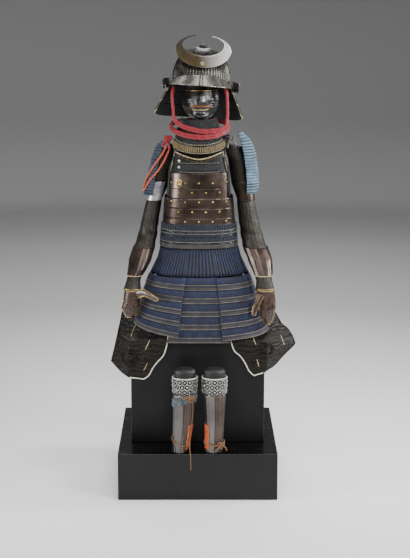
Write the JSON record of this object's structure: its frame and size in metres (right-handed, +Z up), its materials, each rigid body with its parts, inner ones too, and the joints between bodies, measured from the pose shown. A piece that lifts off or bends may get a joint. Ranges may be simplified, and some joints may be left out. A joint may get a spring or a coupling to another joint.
{
  "type": "samurai armour on display stand",
  "caption": "Full samurai armour with crescent-crested helmet, mask, laced skirt, sleeves, thigh and shin guards, set up on a gloss black plinth and block",
  "frame": {"origin": "the middle of the plinth's underside, on the floor", "axes": "+Z up, the front faces -Y, +X is the wearer's left"},
  "size_m": [0.783, 0.6682, 1.9041],
  "materials": {
    "stand_gloss": "high-gloss black lacquer",
    "stand_frame": "satin black paint",
    "helmet_iron": "ribbed, dark, half polished",
    "gilt": "old gilding",
    "crest_metal": "dull bronze with a bright burnished rim",
    "russet_iron": "russet, waxed",
    "black_lacquer": "black lacquer over rawhide",
    "mask_lacquer": "black lacquer on iron",
    "blue_lacing": "flat silk braid, grey blue",
    "pale_blue_lacing": "flat silk braid, pale blue",
    "navy_lacing": "flat silk braid, navy",
    "sleeve_mail": "cloth under dark iron mail",
    "thigh_leather": "dark embossed leather with pale piping",
    "hand_leather": "lacquered leather with gold piping",
    "knee_mail": "hexagonal plates with domed studs",
    "shin_iron": "grey brown splints",
    "crimson_silk": "padded silk cord",
    "orange_silk": "round silk cord",
    "brown_cord": "hemp cord"
  },
  "bodies": {
    "armour": {"plinth": "stand_gloss", "seat_block": "stand_gloss", "leg_form_right": "stand_gloss", "leg_form_left": "stand_gloss", "armour_stand": "stand_frame", "helmet_bowl": "helmet_iron", "helmet_visor": "helmet_iron", "helmet_finial": "gilt", "ring_rosette": "gilt", "throat_lame_3": "gilt", "helmet_crest": "crest_metal", "front_plate_1": "russet_iron", "front_plate_2": "russet_iron", "hoop_plate_1": "russet_iron", "hoop_plate_2": "russet_iron", "hoop_plate_3": "russet_iron", "back_plate": "russet_iron", "upper_arm_plate_right": "russet_iron", "upper_arm_plate_left": "russet_iron", "forearm_plate_right": "russet_iron", "forearm_plate_left": "russet_iron", "neck_guard_1": "black_lacquer", "neck_guard_2": "black_lacquer", "neck_guard_3": "black_lacquer", "turnback_right": "black_lacquer", "turnback_left": "black_lacquer", "chest_plate": "black_lacquer", "shoulder_strap_right": "black_lacquer", "shoulder_strap_left": "black_lacquer", "face_mask": "mask_lacquer", "throat_lame_1": "blue_lacing", "throat_lame_2": "blue_lacing", "waist_lame_1": "blue_lacing", "waist_lame_2": "blue_lacing", "shoulder_guard_right": "blue_lacing", "shoulder_guard_left": "pale_blue_lacing", "skirt_lacing": "navy_lacing", "tasset_front": "navy_lacing", "tasset_front_right": "navy_lacing", "tasset_front_left": "navy_lacing", "tasset_side_right": "navy_lacing", "tasset_side_left": "navy_lacing", "tasset_back_right": "navy_lacing", "tasset_back_left": "navy_lacing", "sleeve_right": "sleeve_mail", "sleeve_left": "sleeve_mail", "thigh_guard_right": "thigh_leather", "thigh_guard_left": "thigh_leather", "hand_guard_right": "hand_leather", "hand_guard_left": "hand_leather", "knee_guard_right": "knee_mail", "knee_guard_left": "knee_mail", "shin_guard_right": "shin_iron", "shin_guard_left": "shin_iron", "chin_cord": "crimson_silk", "neck_cord": "crimson_silk", "shoulder_cord_right": "orange_silk", "leg_cord_right": "brown_cord", "leg_cord_left": "brown_cord"},
    "ring": {"breast_ring": "gilt"}
  },
  "joints": [
    {"name": "ring_swing", "type": "hinge", "parent": "armour", "child": "ring", "pos_m": [-0.07728, -0.09821, 1.297], "axis": [-0.9046, 0.4262, 0], "range_deg": [0, 150]}
  ]
}
